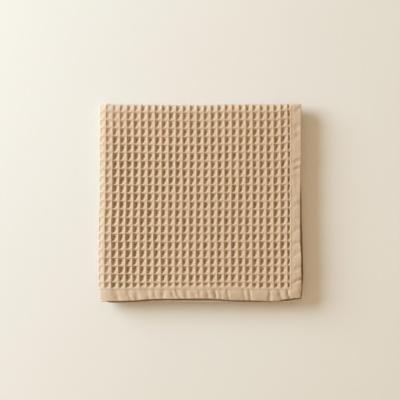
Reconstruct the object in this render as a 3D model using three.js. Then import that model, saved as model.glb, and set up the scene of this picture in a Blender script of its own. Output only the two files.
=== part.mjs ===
// A square sauna towel of waffle cotton, folded in quarters and lying flat.
//
// Millimetres, +Z up. The first fold runs along the -X side and the second along the +Y side,
// so the hemmed edges lie open along +X and, in front, along -Y. The origin is on the surface
// that the towel lies on, under the middle of the folded towel.
//
// The layers from the top down are top, second, third and bottom. The first fold joins top to
// second and third to bottom. The second fold wraps top and bottom round second and third.

import * as THREE from "three";

// Outline of the folded towel, over the layers that reach furthest
const FOLDED_WIDTH = 247;
const FOLDED_DEPTH = 240;

// Cloth, as thick as the waffle's ridges stand on its two faces, and the air between layers
const CLOTH = 3;
const LAYER_GAP = 0.6;

// Turned hems, with the groove that their stitching draws in and their rounded outer edge
const SIDE_HEM = 12;
const FRONT_HEM = 14;
const GROOVE_DEPTH = 0.5;
const GROOVE_HALF_WIDTH = 1.5;
const EDGE_ROUNDING = 1;
const EDGE_PINCH = 0.35 * CLOTH;

// Each fold bulges this much further than a round bend of its layers would
const FIRST_FOLD_BULGE = 1.8;
const SECOND_FOLD_BULGE = 1.6;

// The loose top layer lifts over this distance from its hemmed edges
const LIFT_RUN = 45;

// Steps over a layer, past its hem, and round a fold
const LAYER_STEPS = 11;
const FOLD_STEPS = 10;

const COTTON_COLOUR = 0xc8ad8d;
const COTTON_ROUGHNESS = 0.95;

// How far each layer's hemmed edge stays inside the outline, and how far the top layer lifts
// there. The right edge is followed from the front to the second fold, the front edge from
// the first fold to the right.
const RIGHT_EDGE = [
  { along: 0.0, top: 3.4, second: 2.2, third: 3.4, bottom: 3.6, lift: 0.8 },
  { along: 0.08, top: 2.6, second: 1.2, third: 2.6, bottom: 2.6, lift: 1.0 },
  { along: 0.12, top: 2.4, second: 0.0, third: 1.2, bottom: 1.0, lift: 1.4 },
  { along: 0.22, top: 2.9, second: 0.0, third: 1.2, bottom: 1.0, lift: 1.4 },
  { along: 0.33, top: 3.7, second: 0.8, third: 1.8, bottom: 2.0, lift: 1.0 },
  { along: 0.44, top: 3.9, second: 1.9, third: 2.8, bottom: 3.2, lift: 0.5 },
  { along: 0.57, top: 3.5, second: 2.4, third: 3.2, bottom: 3.4, lift: 0.2 },
  { along: 0.64, top: 3.2, second: 2.9, third: 3.2, bottom: 3.2, lift: 0.1 },
  { along: 0.77, top: 2.6, second: 3.1, third: 3.2, bottom: 3.0, lift: 0.0 },
  { along: 1.0, top: 2.6, second: 3.0, third: 3.0, bottom: 2.6, lift: 0.0 },
];
const FRONT_EDGE = [
  { along: 0.0, top: 1.0, second: 1.6, third: 2.2, bottom: 1.4, lift: 0.0 },
  { along: 0.02, top: 1.7, second: 0.0, third: 1.6, bottom: 1.4, lift: 0.3 },
  { along: 0.06, top: 1.9, second: 0.0, third: 1.6, bottom: 1.4, lift: 0.4 },
  { along: 0.11, top: 2.2, second: 0.4, third: 1.0, bottom: 1.2, lift: 0.5 },
  { along: 0.3, top: 4.6, second: 1.3, third: 1.5, bottom: 1.7, lift: 0.8 },
  { along: 0.5, top: 4.6, second: 1.3, third: 1.5, bottom: 1.7, lift: 0.7 },
  { along: 0.7, top: 2.8, second: 0.6, third: 1.2, bottom: 1.4, lift: 0.6 },
  { along: 0.8, top: 2.0, second: 0.0, third: 1.2, bottom: 1.4, lift: 0.7 },
  { along: 0.88, top: 2.2, second: 0.0, third: 1.2, bottom: 1.4, lift: 0.8 },
  { along: 0.93, top: 4.3, second: 0.4, third: 2.0, bottom: 2.2, lift: 1.0 },
  { along: 0.965, top: 5.4, second: 1.6, third: 3.0, bottom: 3.2, lift: 1.0 },
  { along: 1.0, top: 5.6, second: 4.0, third: 4.4, bottom: 4.6, lift: 1.0 },
];

// How far each fold stays inside the outline, from the front back and from left to right, and
// how much further the lower layers are set in. At the second fold the underside goes in by that
// much, and the faces inside the fold by less.
const FIRST_FOLD = [
  { along: 0.0, inset: 2.4, under: 12 },
  { along: 0.024, inset: 1.0, under: 11.5 },
  { along: 0.06, inset: 0.2, under: 8.5 },
  { along: 0.12, inset: 0.0, under: 3 },
  { along: 0.2, inset: 0.1, under: 0 },
  { along: 0.4, inset: 0.3, under: 0 },
  { along: 0.52, inset: 1.4, under: 0 },
  { along: 1.0, inset: 2.0, under: 0 },
];
const SECOND_FOLD = [
  { along: 0.0, inset: 0.5, under: 0 },
  { along: 0.015, inset: 0.0, under: 0 },
  { along: 0.05, inset: 1.2, under: 0 },
  { along: 0.5, inset: 1.9, under: 0 },
  { along: 0.62, inset: 1.1, under: 0 },
  { along: 0.85, inset: 0.9, under: 0 },
  { along: 1.0, inset: -3.3, under: 12 },
];

// Where a hemmed edge would lie if it were straight
const RIGHT_INSET = 2.4;
const FRONT_INSET = 2;

// Heights and reaches that follow from the cloth
const PAIR_HALF = CLOTH + LAYER_GAP / 2;
const PAIR_OFFSET = PAIR_HALF + LAYER_GAP / 2;
const MIDDLE_HEIGHT = PAIR_OFFSET + PAIR_HALF;
const FIRST_REACH = PAIR_HALF + FIRST_FOLD_BULGE;
const SECOND_REACH = MIDDLE_HEIGHT + SECOND_FOLD_BULGE;
const LAYER_WIDTH = FOLDED_WIDTH - FIRST_REACH - RIGHT_INSET;
const LAYER_DEPTH = FOLDED_DEPTH - SECOND_REACH - FRONT_INSET;

const mix = (a, b, share) => a + (b - a) * share;

// A table's column at a place along its edge, eased from row to row
function columnAt(table, column, along) {
  const next = Math.max(1, table.findIndex((row) => row.along >= along));
  const [from, to] = [table[next - 1], table[next]];
  const share = (along - from.along) / (to.along - from.along);
  return mix(from[column], to[column], share * share * (3 - 2 * share));
}

// Places across the cloth: from one hemmed edge over a layer, round the fold and back again
function clothStations(layerLength, hem) {
  const inField = hem + GROOVE_HALF_WIDTH;
  const runs = [0, EDGE_ROUNDING, hem - GROOVE_HALF_WIDTH, hem, inField];
  for (let i = 1; i <= LAYER_STEPS; i++)
    runs.push(mix(inField, layerLength, i / LAYER_STEPS));
  const towardsFold = runs.map((run) => ({ run, turn: 0 }));
  const roundFold = [];
  for (let i = 1; i < FOLD_STEPS; i++)
    roundFold.push({ run: layerLength, turn: (Math.PI * i) / FOLD_STEPS });
  const backAgain = runs.reverse().map((run) => ({ run, turn: Math.PI }));
  return [...towardsFold, ...roundFold, ...backAgain];
}

// How far each face draws in at a distance from the hemmed edge
function facePinch(run, hem) {
  const edge = EDGE_PINCH * Math.max(0, 1 - run / EDGE_ROUNDING);
  const groove = GROOVE_DEPTH * Math.max(0, 1 - Math.abs(run - hem) / GROOVE_HALF_WIDTH);
  return Math.max(edge, groove);
}

// A point on the face that shows outside the first fold, or on the one hidden inside it
function clothPoint(across, deep, outside) {
  const pinch = Math.max(facePinch(across.run, SIDE_HEM), facePinch(deep.run, FRONT_HEM));
  const half = outside ? PAIR_HALF - pinch : LAYER_GAP / 2 + pinch;
  const radius = PAIR_OFFSET - half * Math.cos(across.turn);

  const alongFront = 1 - across.run / LAYER_WIDTH;
  const alongSide = deep.run / LAYER_DEPTH;
  const outerShare = (1 - Math.cos(across.turn)) / 2;
  const upperShare = (1 - Math.cos(deep.turn)) / 2;
  const layerInset = (table, along) =>
    mix(
      mix(columnAt(table, "third", along), columnAt(table, "bottom", along), outerShare),
      mix(columnAt(table, "second", along), columnAt(table, "top", along), outerShare),
      upperShare,
    );
  const lowerShare = 1 - upperShare;
  const foldInset = (table, along, underShare) =>
    columnAt(table, "inset", along) + columnAt(table, "under", along) * underShare;

  const firstFold = FIRST_REACH - FOLDED_WIDTH / 2 +
    foldInset(FIRST_FOLD, alongSide, lowerShare);
  const rightEdge = FOLDED_WIDTH / 2 - RIGHT_INSET;
  const rightDraw = (RIGHT_INSET - layerInset(RIGHT_EDGE, alongSide)) *
    Math.max(0, 1 - across.run / SIDE_HEM);
  const x = mix(firstFold, rightEdge, alongFront) + rightDraw -
    Math.sin(across.turn) * (half + FIRST_FOLD_BULGE);

  const secondFold = FOLDED_DEPTH / 2 - SECOND_REACH -
    foldInset(SECOND_FOLD, alongFront, (lowerShare * radius) / MIDDLE_HEIGHT);
  const frontEdge = FRONT_INSET - FOLDED_DEPTH / 2;
  const frontDraw = (FRONT_INSET - layerInset(FRONT_EDGE, alongFront)) *
    Math.max(0, 1 - deep.run / FRONT_HEM);
  const y = mix(frontEdge, secondFold, alongSide) - frontDraw +
    Math.sin(deep.turn) * (radius + SECOND_FOLD_BULGE);

  const liftFrom = (table, along, run) =>
    columnAt(table, "lift", along) * Math.max(0, 1 - run / LIFT_RUN) ** 2;
  const lift = outerShare * upperShare * (liftFrom(RIGHT_EDGE, alongSide, across.run) +
    liftFrom(FRONT_EDGE, alongFront, deep.run));
  return [x, y, MIDDLE_HEIGHT - radius * Math.cos(deep.turn) + lift];
}

// The whole cloth: its two faces as grids of points, joined round the four hemmed edges
function clothGeometry() {
  const across = clothStations(LAYER_WIDTH, SIDE_HEM);
  const deep = clothStations(LAYER_DEPTH, FRONT_HEM);
  const positions = [];
  for (const outside of [true, false])
    for (const a of across)
      for (const d of deep) positions.push(...clothPoint(a, d, outside));

  const [lastA, lastD] = [across.length - 1, deep.length - 1];
  const outer = (i, j) => i * deep.length + j;
  const inner = (i, j) => across.length * deep.length + outer(i, j);
  const triangles = [];
  const quad = (a, b, c, d) => triangles.push(a, b, c, a, c, d);
  for (let i = 0; i < lastA; i++)
    for (let j = 0; j < lastD; j++) {
      quad(outer(i, j), outer(i, j + 1), outer(i + 1, j + 1), outer(i + 1, j));
      quad(inner(i, j), inner(i + 1, j), inner(i + 1, j + 1), inner(i, j + 1));
    }
  for (let i = 0; i < lastA; i++) {
    quad(outer(i, 0), outer(i + 1, 0), inner(i + 1, 0), inner(i, 0));
    quad(outer(i + 1, lastD), outer(i, lastD), inner(i, lastD), inner(i + 1, lastD));
  }
  for (let j = 0; j < lastD; j++) {
    quad(outer(0, j + 1), outer(0, j), inner(0, j), inner(0, j + 1));
    quad(outer(lastA, j), outer(lastA, j + 1), inner(lastA, j + 1), inner(lastA, j));
  }

  const geometry = new THREE.BufferGeometry();
  geometry.setAttribute("position", new THREE.Float32BufferAttribute(positions, 3));
  geometry.setIndex(triangles);
  geometry.computeVertexNormals();
  return geometry;
}

const waffleCotton = new THREE.MeshStandardMaterial({
  color: COTTON_COLOUR,
  roughness: COTTON_ROUGHNESS,
  metalness: 0,
});
const towel = new THREE.Mesh(clothGeometry(), waffleCotton);
towel.name = "towel";

const foldedTowel = new THREE.Group();
foldedTowel.add(towel);

export default foldedTowel;
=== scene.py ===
# %% [markdown]
# # A waffle towel, folded in quarters
# The real thing is one square of cotton waffle with a turned and stitched hem all round. It was
# folded in half, then in half again, and laid down with its two folds to the left and to the back.
# This lesson makes the cloth as one thin closed sheet that runs through all four layers, presses
# the waffle's pits into it, and sews the hems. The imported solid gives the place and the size.

# %% Load the frame
import math
from collections import namedtuple

import bmesh
import bpy
import numpy as np
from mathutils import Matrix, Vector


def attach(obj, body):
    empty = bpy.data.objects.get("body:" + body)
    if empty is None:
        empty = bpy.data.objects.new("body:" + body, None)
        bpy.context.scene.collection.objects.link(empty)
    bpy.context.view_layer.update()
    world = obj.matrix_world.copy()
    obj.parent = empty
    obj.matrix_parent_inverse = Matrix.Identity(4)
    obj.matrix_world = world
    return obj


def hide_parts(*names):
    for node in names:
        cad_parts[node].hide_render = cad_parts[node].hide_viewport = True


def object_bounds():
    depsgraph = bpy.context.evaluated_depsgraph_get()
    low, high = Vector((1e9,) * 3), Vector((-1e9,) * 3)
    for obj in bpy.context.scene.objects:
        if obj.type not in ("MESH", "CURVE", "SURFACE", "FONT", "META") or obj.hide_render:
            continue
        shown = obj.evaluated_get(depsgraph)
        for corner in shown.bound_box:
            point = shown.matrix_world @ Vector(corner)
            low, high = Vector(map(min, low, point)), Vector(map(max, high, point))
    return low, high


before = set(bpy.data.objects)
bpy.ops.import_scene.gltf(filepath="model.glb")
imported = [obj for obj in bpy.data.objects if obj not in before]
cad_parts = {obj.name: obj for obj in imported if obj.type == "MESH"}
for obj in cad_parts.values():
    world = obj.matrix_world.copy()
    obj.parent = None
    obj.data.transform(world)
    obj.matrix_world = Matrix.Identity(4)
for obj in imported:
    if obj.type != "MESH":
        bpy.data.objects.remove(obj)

cad_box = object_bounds()
bpy.ops.object.select_all(action="DESELECT")
print("packed solid, metres:", [[round(x, 4) for x in corner] for corner in cad_box])

# %% [markdown]
# ## Camera
# The towel is seen from straight above, filling half of a square picture. A long lens far away
# keeps the folded edges from leaning outwards. One pixel of the 400 pixel picture is 1.2 mm on the
# towel, and the towel's middle lies a little right of and below the middle of the picture.

# %% Camera straight above
MM = 0.001
PICTURE_PIXELS = 400
PIXEL_SIZE = 1.2 * MM
TOWEL_MIDDLE_PIXEL = (200.45, 202.65)
SHARP_HEIGHT = 12 * MM
LENS = 85
SENSOR = 36

camera_height = SHARP_HEIGHT + PICTURE_PIXELS * PIXEL_SIZE * LENS / SENSOR
camera_x = (PICTURE_PIXELS / 2 - TOWEL_MIDDLE_PIXEL[0]) * PIXEL_SIZE
camera_y = (TOWEL_MIDDLE_PIXEL[1] - PICTURE_PIXELS / 2) * PIXEL_SIZE
bpy.ops.object.camera_add(location=(camera_x, camera_y, camera_height), rotation=(0, 0, 0))
camera = bpy.context.object
camera.data.lens = LENS
camera.data.sensor_width = SENSOR
bpy.context.scene.camera = camera
print("camera height, metres:", round(camera_height, 3))

# %% [markdown]
# ## A helper for materials
# Colours are written as the hex values that a picture editor shows, and turned to the linear
# values that Blender's shaders work with. Each material below is a small tree of nodes, and one
# function adds a node, sets its options and fills its inputs, from numbers or from other nodes.

# %% Colour and node helpers
def linear(colour):
    """The linear RGBA of an sRGB hex colour such as "#c9a883"."""
    channels = [int(colour[i:i + 2], 16) / 255 for i in (1, 3, 5)]
    return tuple(c / 12.92 if c <= 0.04045 else ((c + 0.055) / 1.055) ** 2.4 for c in channels) + (1,)


def add_node(tree, kind, options=None, inputs=None):
    """Adds a node, sets its options, and links or sets its inputs by name or number."""
    node = tree.nodes.new(kind)
    for name, value in (options or {}).items():
        setattr(node, name, value)
    for name, value in (inputs or {}).items():
        if isinstance(value, bpy.types.NodeSocket):
            tree.links.new(value, node.inputs[name])
        else:
            node.inputs[name].default_value = value
    return node


def new_material(name):
    """A material with no nodes yet, and its node tree."""
    material = bpy.data.materials.new(name)
    material.use_nodes = True
    material.node_tree.nodes.clear()
    return material, material.node_tree


print("middle grey in linear light:", round(linear("#808080")[0], 3))

# %% [markdown]
# ## Studio
# The towel lies on a smooth, pale, warm surface. Matt paint throws light back evenly, and a faint
# mottle keeps so large a plane from looking like paper. One soft lamp, wider than it is tall,
# stands low on the left, a little towards the back, so each ridge of the waffle throws a short
# shadow to the right. The rest of the light is an even warm glow from all round, which is what
# fills the pits.

# %% Pale floor
FLOOR_SIDE = 12
FLOOR_COLOUR = "#e5e4dd"
FLOOR_LIGHTER = "#e8e7e1"
FLOOR_MOTTLE_WIDTH = 160 * MM
FLOOR_ROUGHNESS = 0.85
FLOOR_GLOSS = 0.2

bpy.ops.mesh.primitive_plane_add(size=FLOOR_SIDE, location=(0, 0, cad_box[0].z))
floor = bpy.context.object
floor.name = "floor"
plaster, tree = new_material("smooth_painted_plaster")
place = add_node(tree, "ShaderNodeTexCoord")
mottle = add_node(tree, "ShaderNodeTexNoise", inputs={
    "Vector": place.outputs["Object"], "Scale": 1 / FLOOR_MOTTLE_WIDTH, "Detail": 2})
tint = add_node(tree, "ShaderNodeMixRGB", {"blend_type": "MIX"}, {
    "Fac": mottle.outputs["Fac"], "Color1": linear(FLOOR_COLOUR), "Color2": linear(FLOOR_LIGHTER)})
paint = add_node(tree, "ShaderNodeBsdfPrincipled", inputs={
    "Base Color": tint.outputs["Color"], "Roughness": FLOOR_ROUGHNESS, "Specular IOR Level": FLOOR_GLOSS})
add_node(tree, "ShaderNodeOutputMaterial", inputs={"Surface": paint.outputs["BSDF"]})
floor.data.materials.append(plaster)
print("floor:", FLOOR_SIDE, "metres across, with", len(tree.nodes), "nodes")

# %% Soft lamp and glow
LAMP_DISTANCE = 2.6
LAMP_WIDTH = 2.2
LAMP_TALLNESS = 1.2
LAMP_HEIGHT_ANGLE = math.radians(19.5)
LAMP_TOWARDS_BACK = math.radians(24)
LAMP_COLOUR = "#d7edff"
LAMP_POWER = 130
GLOW_COLOUR = "#ffe1bb"
GLOW_STRENGTH = 0.62

lamp_flat = LAMP_DISTANCE * math.cos(LAMP_HEIGHT_ANGLE)
lamp_place = (
    -lamp_flat * math.cos(LAMP_TOWARDS_BACK),
    lamp_flat * math.sin(LAMP_TOWARDS_BACK),
    LAMP_DISTANCE * math.sin(LAMP_HEIGHT_ANGLE),
)
lamp_turn = (math.pi / 2 - LAMP_HEIGHT_ANGLE, 0, -math.pi / 2 - LAMP_TOWARDS_BACK)
bpy.ops.object.light_add(type="AREA", location=lamp_place, rotation=lamp_turn)
lamp = bpy.context.object.data
lamp.shape = "ELLIPSE"
lamp.size = LAMP_WIDTH
lamp.size_y = LAMP_TALLNESS
lamp.energy = LAMP_POWER
lamp.color = linear(LAMP_COLOUR)[:3]

glow = bpy.data.worlds.new("glow")
bpy.context.scene.world = glow
glow.use_nodes = True
glow.node_tree.nodes.clear()
sky = add_node(glow.node_tree, "ShaderNodeBackground", inputs={
    "Color": linear(GLOW_COLOUR), "Strength": GLOW_STRENGTH})
add_node(glow.node_tree, "ShaderNodeOutputWorld", inputs={"Surface": sky.outputs["Background"]})
bpy.context.scene.view_settings.view_transform = "Standard"
print("lamp at", [round(x, 2) for x in lamp_place])

# %% [markdown]
# ## The cloth and how it is folded
# A maker measures cloth in millimetres, so the shape is worked out in millimetres and turned to
# metres once, when a mesh gets its points. The layers from the top down are top, second, third
# and bottom. The first fold, on the left, joins top to second and third to bottom. The second
# fold, at the back, wraps top and bottom round second and third. A cloth simulation could fold a
# sheet, but it would not lay the edges where they belong, so the folding is worked out instead.

# %% Sizes of the cloth, in millimetres
FOLDED_WIDTH = 247
FOLDED_DEPTH = 240
CLOTH = 3
LAYER_GAP = 0.6
SIDE_HEM = 12
FRONT_HEM = 14
FIRST_FOLD_BULGE = 1.8
SECOND_FOLD_BULGE = 1.6
RIGHT_INSET = 2.4
FRONT_INSET = 2

PAIR_HALF = CLOTH + LAYER_GAP / 2
PAIR_OFFSET = PAIR_HALF + LAYER_GAP / 2
MIDDLE_HEIGHT = PAIR_OFFSET + PAIR_HALF
FIRST_REACH = PAIR_HALF + FIRST_FOLD_BULGE
SECOND_REACH = MIDDLE_HEIGHT + SECOND_FOLD_BULGE
LAYER_WIDTH = FOLDED_WIDTH - FIRST_REACH - RIGHT_INSET
LAYER_DEPTH = FOLDED_DEPTH - SECOND_REACH - FRONT_INSET
print("one layer, mm:", round(LAYER_WIDTH, 1), "by", round(LAYER_DEPTH, 1))

# %% [markdown]
# A hand never lays edges quite even, so short tables say how far each layer's edge and each fold
# stays inside the outline, and how far the loose top layer lifts. `along` runs from the front to
# the back on the right edge and the first fold, and from the left to the right on the other two.
# `under` sets the two lower layers in beneath the upper ones, at the front left and back right
# corners, so the shadow on the floor begins a little way inside those corners.

# %% Where the edges and folds lie
def table(columns, *rows):
    """A table as one array for each named column."""
    return dict(zip(columns, np.array(rows, float).T))


LAYERS = ("along", "top", "second", "third", "bottom", "lift")
RIGHT_EDGE = table(
    LAYERS,
    (0.00, 3.4, 2.2, 3.4, 3.6, 0.8),
    (0.08, 2.6, 1.2, 2.6, 2.6, 1.0),
    (0.12, 2.4, 0.0, 1.2, 1.0, 1.4),
    (0.22, 2.9, 0.0, 1.2, 1.0, 1.4),
    (0.33, 3.7, 0.8, 1.8, 2.0, 1.0),
    (0.44, 3.9, 1.9, 2.8, 3.2, 0.5),
    (0.57, 3.5, 2.4, 3.2, 3.4, 0.2),
    (0.64, 3.2, 2.9, 3.2, 3.2, 0.1),
    (0.77, 2.6, 3.1, 3.2, 3.0, 0.0),
    (1.00, 2.6, 3.0, 3.0, 2.6, 0.0),
)
FRONT_EDGE = table(
    LAYERS,
    (0.00, 1.0, 1.6, 2.2, 1.4, 0.0),
    (0.02, 1.7, 0.0, 1.6, 1.4, 0.3),
    (0.06, 1.9, 0.0, 1.6, 1.4, 0.4),
    (0.11, 2.2, 0.4, 1.0, 1.2, 0.5),
    (0.30, 4.6, 1.3, 1.5, 1.7, 0.8),
    (0.50, 4.6, 1.3, 1.5, 1.7, 0.7),
    (0.70, 2.8, 0.6, 1.2, 1.4, 0.6),
    (0.80, 2.0, 0.0, 1.2, 1.4, 0.7),
    (0.88, 2.2, 0.0, 1.2, 1.4, 0.8),
    (0.93, 4.3, 0.4, 2.0, 2.2, 1.0),
    (0.965, 5.4, 1.6, 3.0, 3.2, 1.0),
    (1.00, 5.6, 4.0, 4.4, 4.6, 1.0),
)
FOLDS = ("along", "inset", "under")
FIRST_FOLD = table(
    FOLDS,
    (0.000, 2.4, 12.0),
    (0.024, 1.0, 11.5),
    (0.060, 0.2, 8.5),
    (0.120, 0.0, 3.0),
    (0.200, 0.1, 0.0),
    (0.400, 0.3, 0.0),
    (0.520, 1.4, 0.0),
    (1.000, 2.0, 0.0),
)
SECOND_FOLD = table(
    FOLDS,
    (0.000, 0.5, 0.0),
    (0.015, 0.0, 0.0),
    (0.050, 1.2, 0.0),
    (0.500, 1.9, 0.0),
    (0.620, 1.1, 0.0),
    (0.850, 0.9, 0.0),
    (1.000, -3.3, 12.0),
)
print("top layer's largest inset, mm:", RIGHT_EDGE["top"].max(), "right,", FRONT_EDGE["top"].max(), "front")

# %% [markdown]
# Every point of the cloth is named by two distances, walked over its outer face from the corner
# of the top layer at the front right: one to the left, one to the back. Past the end of the layer
# the walk goes round the bend of the fold and then back underneath. `walk` says, for each
# distance, how far the point is from its hemmed edge and how far round the bend it has turned.

# %% Walking over the folded cloth
Walk = namedtuple("Walk", "distance run turn")
BEND_STEPS = 200


def bend_of(reach, height):
    """Angles round a bend and the distance walked to each."""
    turn = np.linspace(0, math.pi, BEND_STEPS + 1)
    steps = np.hypot(np.diff(reach * np.sin(turn)), np.diff(height * np.cos(turn)))
    return turn, np.concatenate([[0], np.cumsum(steps)])


def walk(distance, layer, bend):
    """Distance from the hemmed edge, and the turn from half a circle on top to none below."""
    turn, walked = bend
    past = distance - layer
    run = np.minimum(distance, layer) - np.maximum(past - walked[-1], 0)
    return Walk(distance, run, math.pi - np.interp(past, walked, turn))


first_bend = bend_of(FIRST_REACH, PAIR_HALF)
second_bend = bend_of(SECOND_REACH, MIDDLE_HEIGHT)
FIRST_BEND_END = LAYER_WIDTH + first_bend[1][-1]
SECOND_BEND_END = LAYER_DEPTH + second_bend[1][-1]
CLOTH_ACROSS = FIRST_BEND_END + LAYER_WIDTH
CLOTH_DEEP = SECOND_BEND_END + LAYER_DEPTH
print("outer face, mm:", round(CLOTH_ACROSS, 1), "by", round(CLOTH_DEEP, 1))

# %% [markdown]
# Cloth made by hand is never quite regular. This noise is a net of random numbers with smooth
# passages between them, from a fixed seed, so each run gives the same towel.

# %% Smooth noise
NET = 256


def mix(a, b, share):
    """The value a share of the way from a to b."""
    return a + (b - a) * share


def ease(share):
    """A share held between 0 and 1, which starts and stops gently."""
    share = np.clip(share, 0, 1)
    return share * share * (3 - 2 * share)


def soft_noise(across, deep, grain, seed):
    """Noise from -1 to 1 in lumps as wide and as deep as grain says, in millimetres."""
    net = np.random.default_rng(seed).uniform(-1, 1, (NET, NET))
    column, row = across / grain[0], deep / grain[1]
    i, j = np.floor(column).astype(int) % NET, np.floor(row).astype(int) % NET
    a, b = ease(column - np.floor(column)), ease(row - np.floor(row))
    right, back = (i + 1) % NET, (j + 1) % NET
    return mix(mix(net[i, j], net[right, j], a), mix(net[i, back], net[right, back], a), b)


print("noise repeats after", NET, "lumps")

# %% [markdown]
# Along the front and the right the top layer ends a little inside the second one. Most of the
# strip that it leaves uncovered is a narrow dark gap. Past the gap the second layer's thick hem is
# no longer pressed down, and its lip springs up. Inside the lip the second layer's upper face is
# pressed in, which keeps the gap dark. A table says how much of the front strip is gap.

# %% The gap under the top layer
SPRING = 3.0
SPRING_RUN = 0.5
SIDE_GAP = 0.72
FRONT_GAP = table(
    ("along", "share"),
    (0.00, 0.72),
    (0.15, 0.72),
    (0.30, 0.54),
    (0.50, 0.54),
    (0.65, 0.72),
    (0.95, 0.72),
    (1.00, 0.50),
)
GAP_DENT = 1.5
GAP_DENT_RUN = 8
GAP_DENT_FADING = 4


def eased(rows, column, along):
    """A table's column at places along an edge, eased from row to row."""
    places = rows["along"]
    row = np.clip(np.searchsorted(places, along) - 1, 0, len(places) - 2)
    share = (along - places[row]) / (places[row + 1] - places[row])
    return mix(rows[column][row], rows[column][row + 1], ease(share))


def past_gap(across, deep):
    """How far a point of the second layer is past the gap, in millimetres."""
    def past(rows, along, run, gap_share):
        uncovered = eased(rows, "top", along) - eased(rows, "second", along)
        return uncovered * (1 - gap_share) - run

    along_front = 1 - across.run / LAYER_WIDTH
    side = past(RIGHT_EDGE, deep.run / LAYER_DEPTH, across.run, SIDE_GAP)
    front = past(FRONT_EDGE, along_front, deep.run, eased(FRONT_GAP, "share", along_front))
    return np.maximum(side, front)


def gap_dent(across, deep):
    """How far the second layer's upper face is pressed in at the gap, in millimetres."""
    second = (1 + np.cos(across.turn)) * (1 - np.cos(deep.turn)) / 4
    inside = -past_gap(across, deep)
    near_lip = ease(inside / SPRING_RUN)
    fading = ease((GAP_DENT_RUN - inside) / GAP_DENT_FADING)
    return GAP_DENT * second * near_lip * fading


uncovered_strip = FRONT_EDGE["top"] - FRONT_EDGE["second"]
print("uncovered strip at the front, up to:", round(uncovered_strip.max(), 1), "mm")

# %% [markdown]
# `fold` is the whole folding in one function. It takes where a point is on the cloth, and how far
# it stands from the middle of its folded pair of layers, and gives its place in the folded towel.
# The top layer lifts a little along its loose edges and swells here and there, and every edge
# waves a little. In the bend of the second fold the inner layers are set under by less than the
# outer ones, so that the faces never cross.

# %% Folding the cloth
EDGE_WAVE = 0.35
EDGE_WAVE_GRAIN = (90, 17)
SIDE_WAVE_SEED = 1
FRONT_WAVE_SEED = 2
LIFT_RUN = 45
SWELL = 0.5
SWELL_GRAIN = (64, 52)
SWELL_SEED = 3


def layer_inset(rows, along, outer, upper):
    """How far the layers' edges stay inside the outline, in millimetres."""
    below = mix(eased(rows, "third", along), eased(rows, "bottom", along), outer)
    above = mix(eased(rows, "second", along), eased(rows, "top", along), outer)
    return mix(below, above, upper)


def fold_inset(rows, along, under_share):
    """How far a fold stays inside the outline, in millimetres."""
    return eased(rows, "inset", along) + eased(rows, "under", along) * under_share


def lift_near(rows, along, run):
    """How far the top layer lifts near a loose edge, in millimetres."""
    return eased(rows, "lift", along) * np.maximum(0, 1 - run / LIFT_RUN) ** 2


def fold(across, deep, half):
    """Places in the folded towel, in millimetres, of points half away from their pair's middle."""
    radius = PAIR_OFFSET - half * np.cos(across.turn)
    along_front = 1 - across.run / LAYER_WIDTH
    along_side = deep.run / LAYER_DEPTH
    outer = (1 - np.cos(across.turn)) / 2
    upper = (1 - np.cos(deep.turn)) / 2
    lower = 1 - upper

    side_wave = EDGE_WAVE * soft_noise(across.distance, deep.distance, EDGE_WAVE_GRAIN, SIDE_WAVE_SEED)
    first_fold = FIRST_REACH - FOLDED_WIDTH / 2 + fold_inset(FIRST_FOLD, along_side, lower)
    right_edge = FOLDED_WIDTH / 2 - RIGHT_INSET
    right_draw = RIGHT_INSET - layer_inset(RIGHT_EDGE, along_side, outer, upper) + side_wave
    x = mix(first_fold, right_edge, along_front)
    x = x + right_draw * np.maximum(0, 1 - across.run / SIDE_HEM)
    x = x - np.sin(across.turn) * (half + FIRST_FOLD_BULGE)

    front_wave = EDGE_WAVE * soft_noise(deep.distance, across.distance, EDGE_WAVE_GRAIN, FRONT_WAVE_SEED)
    tucked = lower * radius / MIDDLE_HEIGHT
    second_fold = FOLDED_DEPTH / 2 - SECOND_REACH - fold_inset(SECOND_FOLD, along_front, tucked)
    front_edge = FRONT_INSET - FOLDED_DEPTH / 2
    front_draw = FRONT_INSET - layer_inset(FRONT_EDGE, along_front, outer, upper) + front_wave
    y = mix(front_edge, second_fold, along_side)
    y = y - front_draw * np.maximum(0, 1 - deep.run / FRONT_HEM)
    y = y + np.sin(deep.turn) * (radius + SECOND_FOLD_BULGE)

    lifted = lift_near(RIGHT_EDGE, along_side, across.run) + lift_near(FRONT_EDGE, along_front, deep.run)
    swell = SWELL * (1 + soft_noise(across.distance, deep.distance, SWELL_GRAIN, SWELL_SEED)) / 2
    spring = SPRING * ease(past_gap(across, deep) / SPRING_RUN)
    lift = upper * mix(spring, lifted + swell, outer)
    z = MIDDLE_HEIGHT - radius * np.cos(deep.turn) + lift
    return np.stack(np.broadcast_arrays(x, y, z), axis=-1)


front_right = fold(walk(0.0, LAYER_WIDTH, first_bend), walk(0.0, LAYER_DEPTH, second_bend), PAIR_HALF)
print("top layer's front right corner, mm:", front_right.round(1))

# %% [markdown]
# ## The waffle
# Waffle weave floats its yarns longer and longer towards the edges of a small square, so the
# edges stand up as ridges and the middle sinks to a pit like an upside-down pyramid. A displaced
# texture could draw this, but the pits are several millimetres wide and throw real shadows, so
# they are shape. First comes the net of cells, counted to the left and to the back, with ridges
# that wander a little from a straight line.

# %% Cells of the waffle
CELL_WIDTH = 8.444
CELL_DEPTH = 9.756
FIRST_COLUMN_RIDGE = 16.9
FIRST_ROW_RIDGE = 13.5
RIDGE_WANDER = 0.3
WANDER_GRAIN = (11, 13)
COLUMN_WANDER_SEED = 4
ROW_WANDER_SEED = 5


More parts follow.
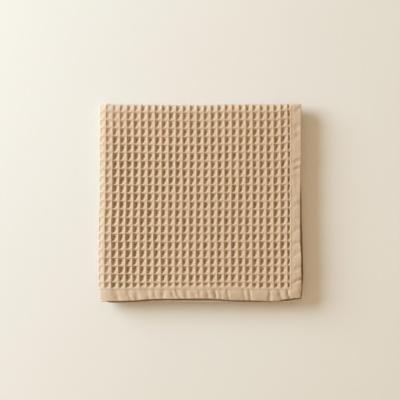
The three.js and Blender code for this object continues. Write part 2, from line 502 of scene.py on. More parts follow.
def in_cells(across, deep):
    """Which cell of the waffle each point is in, counted in cells to the left and to the back."""
    s, t = across.distance, deep.distance
    column_wander = RIDGE_WANDER * soft_noise(s, t, WANDER_GRAIN, COLUMN_WANDER_SEED)
    row_wander = RIDGE_WANDER * soft_noise(s, t, WANDER_GRAIN, ROW_WANDER_SEED)
    column = (s - FIRST_COLUMN_RIDGE + column_wander) / CELL_WIDTH
    row = (t - FIRST_ROW_RIDGE + row_wander) / CELL_DEPTH
    return column, row


def cell_noise(column, row, seed):
    """A number from -1 to 1 for each cell."""
    cells = np.random.default_rng(seed).uniform(-1, 1, (NET, NET))
    return cells[np.floor(column).astype(int) % NET, np.floor(row).astype(int) % NET]


columns_on_top = (LAYER_WIDTH - FIRST_COLUMN_RIDGE) / CELL_WIDTH
rows_on_top = (LAYER_DEPTH - FIRST_ROW_RIDGE) / CELL_DEPTH
print("cells on the top layer:", round(columns_on_top, 1), "by", round(rows_on_top, 1))

# %% [markdown]
# A fold stretches the cloth over its bend and pulls the waffle flatter. The pits also grow
# shallower towards the back, most of all at the back left corner. At the front left the cloth was
# pulled when it was laid down, and its pits are a little wider.

# %% Where the waffle is pulled flat or wide
FIRST_FLATTENING = 0.6
FIRST_FLATTENING_RUN = 16
SECOND_FLATTENING = 0.7
SECOND_FLATTENING_FROM = 0.7
BACK_EASING = 0.2
CORNER_EASING = 0.45
EASING_RUN = 45
PULLED_WIDER = 0.035
PULLED_FROM = 150
PULLED_RUN = 60
PULLED_DEPTH = 110


def fold_stretch(across, deep):
    """How much of the relief is left where a fold stretches the cloth."""
    first = ease((across.run - LAYER_WIDTH) / FIRST_FLATTENING_RUN + 1)
    second = ease((np.sin(deep.turn) - SECOND_FLATTENING_FROM) / (1 - SECOND_FLATTENING_FROM))
    near_left = ease((across.run - LAYER_WIDTH) / EASING_RUN + 1)
    near_back = ease((deep.run - LAYER_DEPTH) / EASING_RUN + 1)
    easing = near_back * mix(BACK_EASING, BACK_EASING + CORNER_EASING, near_left)
    return np.minimum(1 - FIRST_FLATTENING * first, 1 - easing) * (1 - SECOND_FLATTENING * second)


def pulled_wider(across, deep):
    """How far the pits' walls stand back where the cloth was pulled, in cells."""
    leftwards = ease((across.run - PULLED_FROM) / PULLED_RUN)
    return PULLED_WIDER * leftwards * ease((LAYER_DEPTH - deep.run) / PULLED_DEPTH)


print("relief left at the first fold:", round(1 - FIRST_FLATTENING, 2))

# %% [markdown]
# Each pit has five walls. The left one is steep, the right one slopes gently, and a slanting facet
# cuts off the corner at the front right, so the pit's floor lies towards the back left. A row of
# the table gives the side that a wall is on, right or front, or minus for the one opposite, then
# where it starts in the cell and how long its slope runs, in cells. The turned hem pulls the last
# column of pits a little to the left. Rounded ribs of yarn run along the ridges.

# %% Pits and ribs
PIT_WALLS = table(
    ("right", "front", "start", "run"),
    (1, 0, 0.22, 0.32),
    (-1, 0, -0.94, 0.22),
    (0, 1, 0.05, 0.20),
    (0, -1, -0.90, 0.20),
    (0.74, 0.68, 0.45, 0.32),
)
PIT_DEPTH = 2.5
PIT_UNEVENNESS = 0.12
PIT_SEED = 6
WALL_UNEVENNESS = 0.05
WALL_SEED = 20
LAST_COLUMN_SHIFT = 0.08
RIB_HEIGHT = 0.5
RIB_WIDTH = 0.65
YARN_LUMP = 0.2
YARN_LUMP_GRAIN = (2.3, 2.3)
YARN_LUMP_SEED = 7


def groove(distance, width):
    """1 on a line, fading out on both sides over its half width."""
    return np.exp(-(distance / width) ** 2)


def pit_share(across, deep):
    """0 outside the pits and 1 at the bottom of a full one."""
    column, row = in_cells(across, deep)
    wider = pulled_wider(across, deep)
    shift = LAST_COLUMN_SHIFT * (column < 0)
    walls = zip(*PIT_WALLS.values())
    depths = [
        (right * (column % 1 - shift) + front * (row % 1) - start + wider
         + WALL_UNEVENNESS * cell_noise(column, row, WALL_SEED + n)) / run
        for n, (right, front, start, run) in enumerate(walls)
    ]
    deepest = 1 + PIT_UNEVENNESS * cell_noise(column, row, PIT_SEED)
    return deepest * np.clip(np.min(depths, axis=0), 0, 1)


def rib_share(across, deep):
    """1 along the crests of the ridges and 0 away from them."""
    column, row = in_cells(across, deep)
    columns = groove((column - np.round(column)) * CELL_WIDTH, RIB_WIDTH)
    rows = groove((row - np.round(row)) * CELL_DEPTH, RIB_WIDTH)
    return np.maximum(columns, rows)


def waffle_depth(across, deep):
    """Depth below the tops of the ridges, in millimetres."""
    relief = RIB_HEIGHT * (1 - rib_share(across, deep)) + PIT_DEPTH * pit_share(across, deep)
    lumps = soft_noise(across.distance, deep.distance, YARN_LUMP_GRAIN, YARN_LUMP_SEED)
    return relief * fold_stretch(across, deep) + YARN_LUMP * (1 + lumps) / 2


print("a full pit:", PIT_DEPTH + RIB_HEIGHT, "mm deep, with", len(PIT_WALLS["run"]), "walls")

# %% [markdown]
# ## The hems
# The cloth's edge is turned under twice and stitched, which presses the waffle flat. Noise could crease it,
# but the eye knows these creases one by one, so two tables list them. The front hem puckers all along, in
# troughs that lean a little to the right. The side hem has softer ones that slant up to its edge. Each row
# says where a trough crosses the middle of its hem, how it leans, and its depth and half width. On its way
# a trough wanders and comes and goes a little.

# %% Creases of the hems
CREASES = ("place", "lean", "depth", "width")
FRONT_PUCKERS = table(
    CREASES,
    (15.7, 0.24, 1.28, 1.7),
    (25.4, 0.30, 1.20, 2.8),
    (38.2, -0.12, 0.96, 2.0),
    (61.8, 0.15, 0.95, 1.7),
    (68.8, 0.12, 0.75, 2.0),
    (88.5, 0.03, 0.88, 1.5),
    (96.4, 0.00, 0.72, 1.8),
    (104.1, 0.12, 1.20, 1.7),
    (113.6, 0.03, 0.80, 2.3),
    (122.8, 0.00, 0.72, 2.1),
    (129.6, 0.36, 0.72, 2.2),
    (138.4, 0.03, 0.80, 2.8),
    (148.0, 0.21, 0.90, 2.0),
    (155.2, 0.12, 0.80, 1.7),
    (167.2, 0.00, 0.96, 3.0),
    (176.0, 0.00, 0.56, 1.8),
    (185.2, 0.00, 0.80, 3.0),
    (198.4, 0.06, 1.04, 2.5),
    (206.8, 0.15, 0.88, 2.3),
    (222.5, 0.24, 0.80, 3.0),
)
SIDE_CREASES = table(
    CREASES,
    (23.4, -0.45, 1.10, 2.0),
    (37.8, -0.60, 0.95, 2.2),
    (56.0, -0.40, 0.70, 2.6),
    (68.4, -0.20, 0.75, 2.4),
    (84.6, -0.35, 0.60, 2.8),
    (97.0, -0.30, 0.60, 2.6),
    (114.0, -0.10, 0.70, 2.8),
    (125.3, -0.20, 0.60, 2.6),
    (146.4, 0.15, 0.70, 2.4),
    (156.0, -0.35, 0.90, 2.2),
    (165.6, -0.25, 0.90, 2.2),
    (194.0, -0.30, 0.80, 3.0),
    (207.0, -0.20, 0.80, 3.2),
    (225.0, -0.70, 0.35, 2.6),
)
CREASE_WANDER = 1.2
CREASE_UNEVENNESS = 0.5
CREASE_GRAIN = (6, 5)


def creases(rows, along, run, past_middle, seed):
    """Depth of a table's troughs, at distances along a hem and past its middle line."""
    wander = CREASE_WANDER * soft_noise(along, run, CREASE_GRAIN, seed)
    strength = 1 + CREASE_UNEVENNESS * soft_noise(along, run, CREASE_GRAIN, seed + 1)
    troughs = zip(*(rows[column] for column in CREASES))
    return strength * sum(
        depth * groove(along + wander - place - lean * past_middle, width)
        for place, lean, depth, width in troughs
    )


print("creases:", len(FRONT_PUCKERS["place"]), "at the front,", len(SIDE_CREASES["place"]), "at the side")

# %% [markdown]
# The front and the side hem of the top layer roll down at their outer edges, the front one most
# towards the right and the side one only near the front. Two tables say by how much.

# %% Rolled edges
FRONT_ROLL = table(
    ("along", "drop"),
    (0.00, 0.5),
    (0.10, 0.2),
    (0.30, 0.0),
    (0.45, 0.2),
    (0.60, 1.2),
    (1.00, 1.4),
)
SIDE_ROLL = table(
    ("along", "drop"),
    (0.00, 1.6),
    (0.06, 1.2),
    (0.14, 0.4),
    (0.25, 0.1),
    (1.00, 0.0),
)
FRONT_ROLL_RUN = 12
SIDE_ROLL_RUN = 7


def on_top(across, deep):
    """1 on the top layer and 0 on the layers under it."""
    return (1 - np.cos(across.turn)) * (1 - np.cos(deep.turn)) / 4


def hem_roll(across, deep):
    """How far the top layer's hemmed edge rolls down, in millimetres."""
    def roll(rows, along, run, length):
        return eased(rows, "drop", along) * np.maximum(0, 1 - run / length) ** 2

    front = roll(FRONT_ROLL, 1 - across.run / LAYER_WIDTH, deep.run, FRONT_ROLL_RUN)
    side = roll(SIDE_ROLL, deep.run / LAYER_DEPTH, across.run, SIDE_ROLL_RUN)
    return np.maximum(front, side) * on_top(across, deep)


print("hems roll down by up to", max(FRONT_ROLL["drop"].max(), SIDE_ROLL["drop"].max()), "mm")

# %% [markdown]
# The creases of the side hem fade out at its stitching, and those of the front hem run on a
# little way past it. At the corner the two hems meet in a short diagonal crease. The stitching
# draws a shallow groove, and between the creases the cloth is a little rumpled.

# %% Flat hems
HEM_DROP = 0.2
CREASE_FADING = 2
PUCKER_REACH = 1.2
STITCH_INSET = 0.5
STITCH_GROOVE = 0.3
STITCH_GROOVE_WIDTH = 0.8
RUMPLE = 0.45
RUMPLE_GRAIN = (5, 6)
MITRE_DEPTH = 0.5
MITRE_WIDTH = 1.0
MITRE_REACH = 1.2
RUMPLE_SEED = 8
PUCKER_SEED = 30
CREASE_SEED = 32

SIDE_STITCH = SIDE_HEM - STITCH_INSET
FRONT_STITCH = FRONT_HEM - STITCH_INSET


def hem_creases(across, deep):
    """Depth of the creases of both hems, in millimetres."""
    off_front, off_side = deep.run - FRONT_HEM / 2, across.run - SIDE_HEM / 2
    on_side = ease(CREASE_FADING * (1 - across.run / SIDE_HEM))
    on_front = ease(CREASE_FADING * (PUCKER_REACH - deep.run / FRONT_HEM))
    pucker = on_front * creases(FRONT_PUCKERS, across.distance, deep.run, off_front, PUCKER_SEED)
    return pucker + on_side * creases(SIDE_CREASES, deep.distance, across.run, off_side, CREASE_SEED)


def hem_depth(across, deep):
    """Depth of the flat hems below the tops of the ridges, in millimetres."""
    lumps = soft_noise(across.distance, deep.distance, RUMPLE_GRAIN, RUMPLE_SEED)
    side_stitching = groove(across.run - SIDE_STITCH, STITCH_GROOVE_WIDTH) * (deep.run > FRONT_STITCH)
    front_stitching = groove(deep.run - FRONT_STITCH, STITCH_GROOVE_WIDTH) * (across.run > SIDE_STITCH)
    stitching = STITCH_GROOVE * np.maximum(side_stitching, front_stitching)
    off_diagonal = across.run - deep.run * SIDE_HEM / FRONT_HEM
    in_corner = ease(MITRE_REACH - across.run / SIDE_HEM) * ease(MITRE_REACH - deep.run / FRONT_HEM)
    mitre = MITRE_DEPTH * groove(off_diagonal, MITRE_WIDTH) * in_corner
    rumple = RUMPLE * (1 + lumps) / 2
    return HEM_DROP + hem_creases(across, deep) + rumple + stitching + mitre + hem_roll(across, deep)


print("stitched", SIDE_STITCH, "mm from the side and", FRONT_STITCH, "mm from the front edge")

# %% [markdown]
# The turned cloth reaches a little past its stitching and ends there in a step, which is sharp
# along the side hem and soft along the front one. At the front it reaches furthest in the middle,
# as a table says. The outer edge of a hem is a tight round fold, so both faces draw in there.

# %% The hem's inner step and its round outer edge
SIDE_HEM_LIP = 1.9
SIDE_HEM_STEP = 0.9
FRONT_HEM_LIP = table(
    ("along", "lip"),
    (0.00, 2.4),
    (0.10, 2.8),
    (0.22, 4.6),
    (0.62, 5.4),
    (0.74, 4.0),
    (0.80, 2.8),
    (1.00, 2.6),
)
FRONT_HEM_STEP = 5
EDGE_ROUNDING = 0.9
EDGE_PINCH = 1.2


def in_field(across, deep):
    """1 over the waffle, 0 over the hems, with the step of the hem's inner edge between."""
    front_lip = eased(FRONT_HEM_LIP, "lip", 1 - across.run / LAYER_WIDTH)
    side = ease((across.run - SIDE_HEM - SIDE_HEM_LIP) / SIDE_HEM_STEP + 0.5)
    front = ease((deep.run - FRONT_HEM - front_lip) / FRONT_HEM_STEP + 0.5)
    return side * front


def edge_pinch(across, deep):
    """How far each face draws in round the turned edge, in millimetres."""
    def pinch(run):
        left = np.clip(1 - run / EDGE_ROUNDING, 0, 1)
        return EDGE_PINCH * (1 - np.sqrt(1 - left ** 2))

    return np.maximum(pinch(across.run), pinch(deep.run))


print("waffle starts", SIDE_HEM + SIDE_HEM_LIP, "mm from the side edge")

# %% [markdown]
# The two faces of the cloth put all of this together. The outer face carries the waffle and the
# hems, and the top layer sinks to a rounded shoulder as it comes to the first fold. The inner
# face, which the first fold hides, is plain. The cloth never gets thinner than a fifth of a
# millimetre, not even at the bottom of a pit.

# %% The cloth's two faces
RIDGE_STAND = 0.6
FIRST_SHOULDER = 1.0
FIRST_SHOULDER_FROM = 6
FIRST_SHOULDER_RUN = 10
THINNEST_CLOTH = 0.2


def fold_shoulder(across, deep):
    """How far the top layer sinks as it comes to the first fold, in millimetres."""
    past = across.distance - LAYER_WIDTH + FIRST_SHOULDER_FROM
    return FIRST_SHOULDER * ease(past / FIRST_SHOULDER_RUN) * on_top(across, deep)


def outer_face(s, t):
    """Places of the outer face at distances over the cloth, in millimetres."""
    across, deep = walk(s, LAYER_WIDTH, first_bend), walk(t, LAYER_DEPTH, second_bend)
    depth = mix(hem_depth(across, deep), waffle_depth(across, deep), in_field(across, deep))
    depth = depth + fold_shoulder(across, deep)
    pinch = edge_pinch(across, deep)
    half = PAIR_HALF + RIDGE_STAND * on_top(across, deep) - depth - pinch
    inner = LAYER_GAP / 2 + pinch + gap_dent(across, deep)
    return fold(across, deep, np.maximum(half, inner + THINNEST_CLOTH))


def inner_face(s, t):
    """Places of the face that the first fold hides, in millimetres."""
    across, deep = walk(s, LAYER_WIDTH, first_bend), walk(t, LAYER_DEPTH, second_bend)
    return fold(across, deep, LAYER_GAP / 2 + edge_pinch(across, deep) + gap_dent(across, deep))


print("middle of the top layer, mm:", outer_face(LAYER_WIDTH / 2, LAYER_DEPTH / 2).round(1))

# %% [markdown]
# ## Where the mesh has its lines
# The mesh is a grid over the flat cloth. Its lines lie close together where the shape turns fast:
# round the hemmed edge, at the stitches, and eight or nine to each pit of the faces that show. The
# hidden layers need few. The inner face keeps only some of the lines.

# %% Grid lines
FINE_ACROSS = (0, 0.06, 0.13, 0.27, 0.42, 0.57, 0.72, 0.85, 0.94)
FINE_DEEP = (0, 0.06, 0.17, 0.32, 0.5, 0.68, 0.82, 0.92)
HIDDEN_ACROSS = (0,)
UNDERSIDE_DEEP = (0, 0.33, 0.67)
EDGE_LINES = (0, 0.25, 0.6, 1.1, 1.6, 2.4, 3.6, 5.0, 6.5, 8.0, 9.5)
STITCH_LINES = (-1.3, -0.8, -0.3, 0.2, 0.7, 1.2, 1.7)
HIDDEN_EDGE_LINES = (0, 0.25, 0.6, 1.1, 1.6, 2.4)
LEAST_SPACING = 0.4
CELLS_IN_HEM = 2
INNER_STRIDE = 6


def grid_lines(hem, first_ridge, cell, bend_end, end, fine, coarse):
    """Distances of the grid's lines over the cloth, and which of them the inner face keeps."""
    edge = [line for line in EDGE_LINES if line < hem + STITCH_LINES[0] - LEAST_SPACING]
    edge += [hem + line for line in STITCH_LINES]
    far_edge = [end - line for line in (hem + STITCH_LINES[-1], hem, *reversed(HIDDEN_EDGE_LINES))]
    numbers = range(-CELLS_IN_HEM, int(end / cell) + 1)
    near = [first_ridge + cell * (n + share) for n in numbers for share in fine]
    far = [first_ridge + cell * (n + share) for n in numbers for share in coarse]
    lines = edge + [x for x in near if edge[-1] + LEAST_SPACING < x < bend_end]
    lines += [x for x in far if bend_end <= x < far_edge[0] - LEAST_SPACING] + far_edge
    last = len(lines) - 1
    ends = list(range(len(edge))) + list(range(last + 1 - len(far_edge), last + 1))
    kept = sorted({*ends, *range(0, last, INNER_STRIDE)})
    return np.array(lines), np.array(kept)


across_lines, across_kept = grid_lines(
    SIDE_HEM, FIRST_COLUMN_RIDGE, CELL_WIDTH, FIRST_BEND_END, CLOTH_ACROSS, FINE_ACROSS, HIDDEN_ACROSS)
deep_lines, deep_kept = grid_lines(
    FRONT_HEM, FIRST_ROW_RIDGE, CELL_DEPTH, SECOND_BEND_END, CLOTH_DEEP, FINE_DEEP, UNDERSIDE_DEEP)
print("outer face lines:", len(across_lines), "by", len(deep_lines))
print("inner face lines:", len(across_kept), "by", len(deep_kept))

# %% [markdown]
# ## Making the sheet
# Both faces are grids of four-sided faces. Round the edge the fine outer grid meets the coarse
# inner one, so each inner line fans out to the outer lines next to it. That closes the sheet.

# %% Faces of the sheet
def grid_faces(first, rows, columns):
    """Corner numbers of the faces of a grid of points, numbered row by row."""
    number = first + np.arange(rows * columns).reshape(rows, columns)
    corners = (number[:-1, :-1], number[:-1, 1:], number[1:, 1:], number[1:, :-1])
    return np.stack(corners, axis=-1).reshape(-1, 4), number


def edge_faces(outer, inner, kept):
    """Triangles that close the edge between a line of outer points and a line of fewer inner ones."""
    faces = []
    for k in range(len(kept) - 1):
        start, end = kept[k], kept[k + 1]
        middle = (start + end + 1) // 2
        faces += [(outer[n + 1], outer[n], inner[k]) for n in range(start, middle)]
        faces.append((inner[k], inner[k + 1], outer[middle]))
        faces += [(outer[n + 1], outer[n], inner[k + 1]) for n in range(middle, end)]
    return faces


outer_quads, outer_number = grid_faces(0, len(across_lines), len(deep_lines))
inner_quads, inner_number = grid_faces(outer_number.size, len(across_kept), len(deep_kept))
towel_faces = outer_quads.tolist() + inner_quads[:, ::-1].tolist()
towel_faces += edge_faces(outer_number[0], inner_number[0], deep_kept)
towel_faces += [face[::-1] for face in edge_faces(outer_number[-1], inner_number[-1], deep_kept)]
towel_faces += [face[::-1] for face in edge_faces(outer_number[:, 0], inner_number[:, 0], across_kept)]
towel_faces += edge_faces(outer_number[:, -1], inner_number[:, -1], across_kept)
print("faces of the sheet:", len(towel_faces))

# %% [markdown]
# A mesh gets its points in metres, and smooth shading hides the edges between its faces. After
# that a closed mesh is measured: an open edge would be a hole, and a negative volume would mean
# that its faces point inwards.

# %% The sheet itself
CUBIC_CENTIMETRES = 1e6


def add_piece(name, points, faces):
    """A smooth mesh object from points in millimetres and from the corner numbers of its faces."""
    mesh = bpy.data.meshes.new(name)
    mesh.from_pydata((points * MM).tolist(), [], faces)
    piece = bpy.data.objects.new(name, mesh)
    bpy.context.collection.objects.link(piece)
    bpy.context.view_layer.objects.active = piece
    piece.select_set(True)
    bpy.ops.object.shade_smooth()
    bpy.ops.object.select_all(action="DESELECT")
    return piece


def print_measures(piece):
    """Prints a piece's triangles, open edges and volume."""
    shape = bmesh.new()
    shape.from_mesh(piece.data)
    triangles = len(shape.calc_loop_triangles())
    open_edges = sum(not edge.is_manifold for edge in shape.edges)
    volume = shape.calc_volume(signed=True) * CUBIC_CENTIMETRES
    shape.free()
    print(piece.name, "has", triangles, "triangles,", open_edges, "open edges,",
          round(volume, 2), "cubic centimetres")


outer_points = outer_face(across_lines[:, None], deep_lines[None, :])
inner_points = inner_face(across_lines[across_kept][:, None], deep_lines[deep_kept][None, :])
towel_points = np.concatenate([outer_points.reshape(-1, 3), inner_points.reshape(-1, 3)])
towel = add_piece("folded_towel", towel_points, towel_faces)
print_measures(towel)

# %% [markdown]
# The yarns run along the cloth through every fold, so the weave can't follow the room's axes. A UV map
# holds each point's distances over the flat cloth, in metres. One attribute says where the waffle is, less
# where a fold has pulled it flat, so the folds also get a painted highlight. Another says where the pits
# get painted shade.

# %% Flat cloth coordinates
def over_grid(function):
    """A function of the two walks, at every point of the outer and then of the inner face."""
    values = []
    for lines, rows in ((across_lines, deep_lines), (across_lines[across_kept], deep_lines[deep_kept])):
        across = walk(lines[:, None], LAYER_WIDTH, first_bend)
        deep = walk(rows[None, :], LAYER_DEPTH, second_bend)
        grid = np.broadcast_to(function(across, deep), (len(lines), len(rows)))
        values.append(grid.ravel())
    return np.concatenate(values)


flat_across = over_grid(lambda across, deep: across.distance) * MM
flat_deep = over_grid(lambda across, deep: deep.distance) * MM
corner_points = np.zeros(len(towel.data.loops), np.int32)
towel.data.loops.foreach_get("vertex_index", corner_points)
flat = np.stack([flat_across[corner_points], flat_deep[corner_points]], axis=-1)
towel.data.uv_layers.new(name="cloth").data.foreach_set("uv", flat.astype(np.float32).ravel())
print("flat cloth up to", flat.max(axis=0).round(3), "metres")

# %% Waffle mask and painted pit shade
# Painted shade in the pits: where in a pit it begins, and where it is full.
PIT_SHADE_FROM = 0.2
PIT_SHADE_TO = 0.8


def waffle_and_fold_highlight_share(across, deep):
    """1 over the waffle, 0 over the hems, and less where a fold has pulled the waffle flat, which also
    fades the waffle's tint there as a painted highlight.
    """
    return in_field(across, deep) * fold_stretch(across, deep)


def pit_shade_share(across, deep):
    """Share of painted shade: 0 on the ridges and the hems, 1 deep in a pit, less on a fold."""
    shade_share = ease((pit_share(across, deep) - PIT_SHADE_FROM) / (PIT_SHADE_TO - PIT_SHADE_FROM))
    return shade_share * fold_stretch(across, deep) ** 2 * in_field(across, deep)


# The 'open' mask holds the painted shade of the pits.
for name, mask in (("waffle", over_grid(waffle_and_fold_highlight_share)), ("open", over_grid(pit_shade_share))):
    attribute = towel.data.attributes.new(name, "FLOAT", "POINT")
    attribute.data.foreach_set("value", mask.astype(np.float32))
    print("mean of the", name, "mask:", round(float(mask.mean()), 2))

# %% [markdown]
# ## Stitches
# A machine sewed the hems with a cotton thread of the cloth's own colour. Each stitch is a short
# bent thread that comes up out of the groove and dives again. A curve with a round section could
# draw it, but one stitch is only a few faces, so it is a tube of rings. All of them are laid along
# the hem lines that show, on the outer face, and joined.

# %% Places along the hems
STITCH_PITCH = 3.4
STITCH_LENGTH = 2.7
STITCH_UNEVENNESS = (0.9, 1.1)
STITCH_RINGS = (-0.5, -0.3, 0, 0.3, 0.5)
SIDE_STITCH_SEED = 11
FRONT_STITCH_SEED = 12


def ring_places(start, end, seed):
    """Distances of each stitch's rings along a hem, one row a stitch."""
    middles = np.arange(start + STITCH_PITCH / 2, end, STITCH_PITCH)
    lengths = STITCH_LENGTH * np.random.default_rng(seed).uniform(*STITCH_UNEVENNESS, len(middles))
    return middles[:, None] + lengths[:, None] * np.array(STITCH_RINGS)[None, :]


side_rings = ring_places(FRONT_STITCH, CLOTH_DEEP - FRONT_STITCH, SIDE_STITCH_SEED)
front_rings = ring_places(SIDE_STITCH, FIRST_BEND_END, FRONT_STITCH_SEED)
print("stitches:", len(side_rings), "along the side,", len(front_rings), "along the front")

# %% Bent threads
STITCH_RISE = (-0.25, 0.1, 0.2, 0.1, -0.25)
THREAD_RADIUS = (0.14, 0.25, 0.28, 0.25, 0.14)
THREAD_SIDES = 6
NUDGE = 0.05


def stitch_points(side, front):
    """Points of the stitches whose rings lie at these distances over the cloth, one row a stitch."""
    place = outer_face(side, front)
    left = outer_face(side + NUDGE, front) - outer_face(side - NUDGE, front)
    back = outer_face(side, front + NUDGE) - outer_face(side, front - NUDGE)
    up = np.cross(back, left)
    up /= np.linalg.norm(up, axis=-1, keepdims=True)
    ahead = np.gradient(place, axis=1)
    beside = np.cross(ahead, up)
    beside /= np.linalg.norm(beside, axis=-1, keepdims=True)
    angle = np.linspace(0, 2 * math.pi, THREAD_SIDES, endpoint=False)[None, None, :, None]
    radius = np.array(THREAD_RADIUS)[None, :, None, None]
    rise = np.array(STITCH_RISE)[None, :, None]
    centre = (place + up * rise)[:, :, None, :]
    return centre + radius * (np.cos(angle) * up[:, :, None, :] + np.sin(angle) * beside[:, :, None, :])


stitches = np.concatenate([
    stitch_points(np.full_like(side_rings, SIDE_STITCH), side_rings),
    stitch_points(front_rings, np.full_like(front_rings, FRONT_STITCH)),
    stitch_points(front_rings, np.full_like(front_rings, CLOTH_DEEP - FRONT_STITCH)),
])
count, rings, sides = stitches.shape[:3]

one_stitch = []
for ring in range(rings - 1):
    for side in range(sides):
        a, b = ring * sides + side, ring * sides + (side + 1) % sides
        one_stitch.append((a, b, b + sides, a + sides))
one_stitch.append(tuple(reversed(range(sides))))
one_stitch.append(tuple(range((rings - 1) * sides, rings * sides)))
thread_faces = [
    tuple(n + corner for corner in face)
    for n in range(0, count * rings * sides, rings * sides)
    for face in one_stitch
]
thread = add_piece("hem_stitches", stitches.reshape(-1, 3), thread_faces)

shape = bmesh.new()
shape.from_mesh(thread.data)
bmesh.ops.recalc_face_normals(shape, faces=shape.faces)
shape.to_mesh(thread.data)
shape.free()
print_measures(thread)

# %% [markdown]
# ## Waffle cotton
# The cloth is unbleached-looking sand cotton, woven from soft matt yarn. It scatters light with
# almost no gloss, and the fuzz of its fibres shows as a faint pale sheen at grazing angles. Its
# yarns are about 0.6 mm thick, which is half a pixel here, so they are drawn 1.6 mm apart to show:
# square rings round each pit, and a plain weave on the hems. Their height goes to a bump, because
# so fine a relief would need millions of faces.

# %% Yarns of the cloth
YARN_SPACING = 1.6 * MM
YARN_HEIGHT = 0.35
YARN_BUMP = 0.7
YARN_BUMP_HEIGHT = 0.4 * MM
FIBRE_SIZE = 1.5 * MM
FIBRE_ROUGHNESS = 0.6
CELL_MIDDLE = (0.5, 0.5, 0)

cotton, tree = new_material("waffle_cotton")
cloth_uv = add_node(tree, "ShaderNodeUVMap", {"uv_map": "cloth"})
waffle = add_node(tree, "ShaderNodeAttribute", {"attribute_name": "waffle"})
from_ridge = add_node(tree, "ShaderNodeVectorMath", {"operation": "SUBTRACT"}, {
    0: cloth_uv.outputs["UV"], 1: (FIRST_COLUMN_RIDGE * MM, FIRST_ROW_RIDGE * MM, 0)})
cell_place = add_node(tree, "ShaderNodeVectorMath", {"operation": "DIVIDE"}, {
    0: from_ridge.outputs["Vector"], 1: (CELL_WIDTH * MM, CELL_DEPTH * MM, 1)})
in_cell = add_node(tree, "ShaderNodeVectorMath", {"operation": "FRACTION"}, {
    0: cell_place.outputs["Vector"]})
off_middle = add_node(tree, "ShaderNodeVectorMath", {"operation": "SUBTRACT"}, {
    0: in_cell.outputs["Vector"], 1: CELL_MIDDLE})
off_middle = add_node(tree, "ShaderNodeVectorMath", {"operation": "ABSOLUTE"}, {
    0: off_middle.outputs["Vector"]})
off_middle = add_node(tree, "ShaderNodeSeparateXYZ", inputs={0: off_middle.outputs["Vector"]})
ring = add_node(tree, "ShaderNodeMath", {"operation": "MAXIMUM"}, {
    0: off_middle.outputs["X"], 1: off_middle.outputs["Y"]})
ring = add_node(tree, "ShaderNodeMath", {"operation": "MULTIPLY"}, {
    0: ring.outputs["Value"], 1: 2 * math.pi * CELL_WIDTH * MM / YARN_SPACING})
ring = add_node(tree, "ShaderNodeMath", {"operation": "COSINE"}, {0: ring.outputs["Value"]})
weave = add_node(tree, "ShaderNodeVectorMath", {"operation": "SCALE"}, {
    0: cloth_uv.outputs["UV"], "Scale": 2 * math.pi / YARN_SPACING})
weave = add_node(tree, "ShaderNodeVectorMath", {"operation": "SINE"}, {0: weave.outputs["Vector"]})
weave = add_node(tree, "ShaderNodeSeparateXYZ", inputs={0: weave.outputs["Vector"]})
weave = add_node(tree, "ShaderNodeMath", {"operation": "MULTIPLY"}, {
    0: weave.outputs["X"], 1: weave.outputs["Y"]})
yarn = add_node(tree, "ShaderNodeMix", {"data_type": "FLOAT"}, {
    "Factor": waffle.outputs["Fac"], "A": weave.outputs["Value"], "B": ring.outputs["Value"]})
fibre = add_node(tree, "ShaderNodeTexNoise", inputs={
    "Vector": cloth_uv.outputs["UV"], "Scale": 1 / FIBRE_SIZE, "Detail": 3, "Roughness": FIBRE_ROUGHNESS})
yarn_height = add_node(tree, "ShaderNodeMath", {"operation": "MULTIPLY_ADD"}, {
    0: yarn.outputs["Result"], 1: YARN_HEIGHT, 2: fibre.outputs["Fac"]})
bump = add_node(tree, "ShaderNodeBump", inputs={
    "Height": yarn_height.outputs["Value"], "Strength": YARN_BUMP, "Distance": YARN_BUMP_HEIGHT})
print("yarns across a cell:", round(CELL_WIDTH * MM / YARN_SPACING, 1))

# %% [markdown]
# Single fibres differ a little in colour, and wider blotches come from uneven dyeing. The long floats of
# the waffle are a touch more golden than the plain hems, and on the folds less of that tint is laid on, a
# painted highlight that makes them paler. Deep in each pit the colour turns to a dark grey-olive, painted
# shade that is fullest at the pit's back left. It lies in flecks, with the weave's own rhythm in them, and
# there is none on the ridges or the hems and less on a fold.

# %% Colours of the cloth
COTTON_COLOUR = "#d7c2a8"
COTTON_DARK = "#c8b093"
WAFFLE_TINT = "#fcf6ef"
# The dark grey-olive of the painted shade in the pits.
PIT_SHADE_COLOUR = "#72735c"
FIBRE_CONTRAST = 2.0
BLOTCH_SIZE = 34 * MM
BLOTCH_CONTRAST = 0.4
DARKER = -0.75
FLECK_SIZE = 1.6 * MM
FLECK_CONTRAST = 4.0
FEWER_FLECKS = -1.62
WEAVE_IN_FLECKS = 0.15

blotch = add_node(tree, "ShaderNodeTexNoise", inputs={
    "Vector": cloth_uv.outputs["UV"], "Scale": 1 / BLOTCH_SIZE, "Detail": 2})
shade = add_node(tree, "ShaderNodeMath", {"operation": "MULTIPLY_ADD"}, {
    0: fibre.outputs["Fac"], 1: FIBRE_CONTRAST, 2: DARKER})
shade = add_node(tree, "ShaderNodeMath", {"operation": "MULTIPLY_ADD"}, {
    0: blotch.outputs["Fac"], 1: BLOTCH_CONTRAST, 2: shade.outputs["Value"]})
colour = add_node(tree, "ShaderNodeMixRGB", {"blend_type": "MIX", "use_clamp": True}, {
    "Fac": shade.outputs["Value"], "Color1": linear(COTTON_DARK), "Color2": linear(COTTON_COLOUR)})
# The waffle's tint fades where the mask is low on the folds: a painted highlight.
colour = add_node(tree, "ShaderNodeMixRGB", {"blend_type": "MULTIPLY"}, {
    "Fac": waffle.outputs["Fac"], "Color1": colour.outputs["Color"], "Color2": linear(WAFFLE_TINT)})
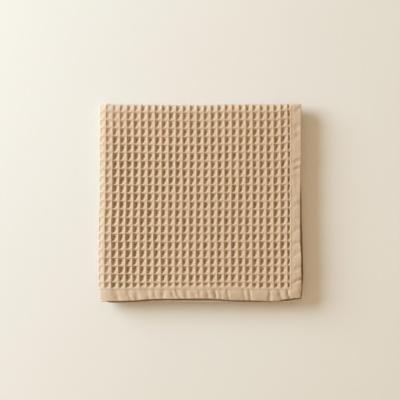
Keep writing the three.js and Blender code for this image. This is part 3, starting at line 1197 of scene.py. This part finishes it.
# Painted shade: the 'open' mask and noise flecks darken the pits towards this colour.
pit_shade_mask = add_node(tree, "ShaderNodeAttribute", {"attribute_name": "open"})
fleck = add_node(tree, "ShaderNodeTexNoise", inputs={
    "Vector": cloth_uv.outputs["UV"], "Scale": 1 / FLECK_SIZE, "Detail": 1})
pit_shade_flecks = add_node(tree, "ShaderNodeMath", {"operation": "MULTIPLY_ADD"}, {
    0: weave.outputs["Value"], 1: WEAVE_IN_FLECKS, 2: FEWER_FLECKS})
pit_shade_flecks = add_node(tree, "ShaderNodeMath", {"operation": "MULTIPLY_ADD", "use_clamp": True}, {
    0: fleck.outputs["Fac"], 1: FLECK_CONTRAST, 2: pit_shade_flecks.outputs["Value"]})
pit_shade_flecks = add_node(tree, "ShaderNodeMath", {"operation": "MULTIPLY"}, {
    0: pit_shade_flecks.outputs["Value"], 1: pit_shade_mask.outputs["Fac"]})
colour = add_node(tree, "ShaderNodeMixRGB", {"blend_type": "MIX"}, {
    "Fac": pit_shade_flecks.outputs["Value"], "Color1": colour.outputs["Color"], "Color2": linear(PIT_SHADE_COLOUR)})
print("blotches:", round(BLOTCH_SIZE / MM), "mm wide")

# %% Cotton surface
COTTON_ROUGHNESS = 0.92
COTTON_GLOSS = 0.2
COTTON_SHEEN = 0.4
COTTON_SHEEN_ROUGHNESS = 0.5

surface = add_node(tree, "ShaderNodeBsdfPrincipled", inputs={
    "Base Color": colour.outputs["Color"], "Normal": bump.outputs["Normal"],
    "Roughness": COTTON_ROUGHNESS, "Specular IOR Level": COTTON_GLOSS,
    "Sheen Weight": COTTON_SHEEN, "Sheen Roughness": COTTON_SHEEN_ROUGHNESS})
add_node(tree, "ShaderNodeOutputMaterial", inputs={"Surface": surface.outputs["BSDF"]})
towel.data.materials.append(cotton)
print("cotton nodes:", len(tree.nodes))

# %% [markdown]
# ## Sewing thread
# The thread is twisted cotton, a shade lighter than the cloth and a little smoother. Its twist is
# finer than a pixel, so soft pale and dark stretches about as long as a stitch stand for it.

# %% Thread material
THREAD_COLOUR = "#dcc6ab"
THREAD_DARK = "#c8af92"
THREAD_STRETCH = 2.5 * MM
TWIST_BUMP = 0.3
TWIST_BUMP_HEIGHT = 0.1 * MM
THREAD_ROUGHNESS = 0.8
THREAD_GLOSS = 0.3

sewing_cotton, tree = new_material("twisted_sewing_cotton")
place = add_node(tree, "ShaderNodeTexCoord")
twist = add_node(tree, "ShaderNodeTexNoise", inputs={
    "Vector": place.outputs["Object"], "Scale": 1 / THREAD_STRETCH, "Detail": 2})
colour = add_node(tree, "ShaderNodeMixRGB", {"blend_type": "MIX"}, {
    "Fac": twist.outputs["Fac"], "Color1": linear(THREAD_DARK), "Color2": linear(THREAD_COLOUR)})
bump = add_node(tree, "ShaderNodeBump", inputs={
    "Height": twist.outputs["Fac"], "Strength": TWIST_BUMP, "Distance": TWIST_BUMP_HEIGHT})
surface = add_node(tree, "ShaderNodeBsdfPrincipled", inputs={
    "Base Color": colour.outputs["Color"], "Normal": bump.outputs["Normal"],
    "Roughness": THREAD_ROUGHNESS, "Specular IOR Level": THREAD_GLOSS})
add_node(tree, "ShaderNodeOutputMaterial", inputs={"Surface": surface.outputs["BSDF"]})
thread.data.materials.append(sewing_cotton)
print("thread nodes:", len(tree.nodes))

# %% [markdown]
# ## What each piece is
# The sheet stands for the imported solid, and both pieces belong to the one body.

for piece in (towel, thread):
    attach(piece, "root")
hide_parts("towel")
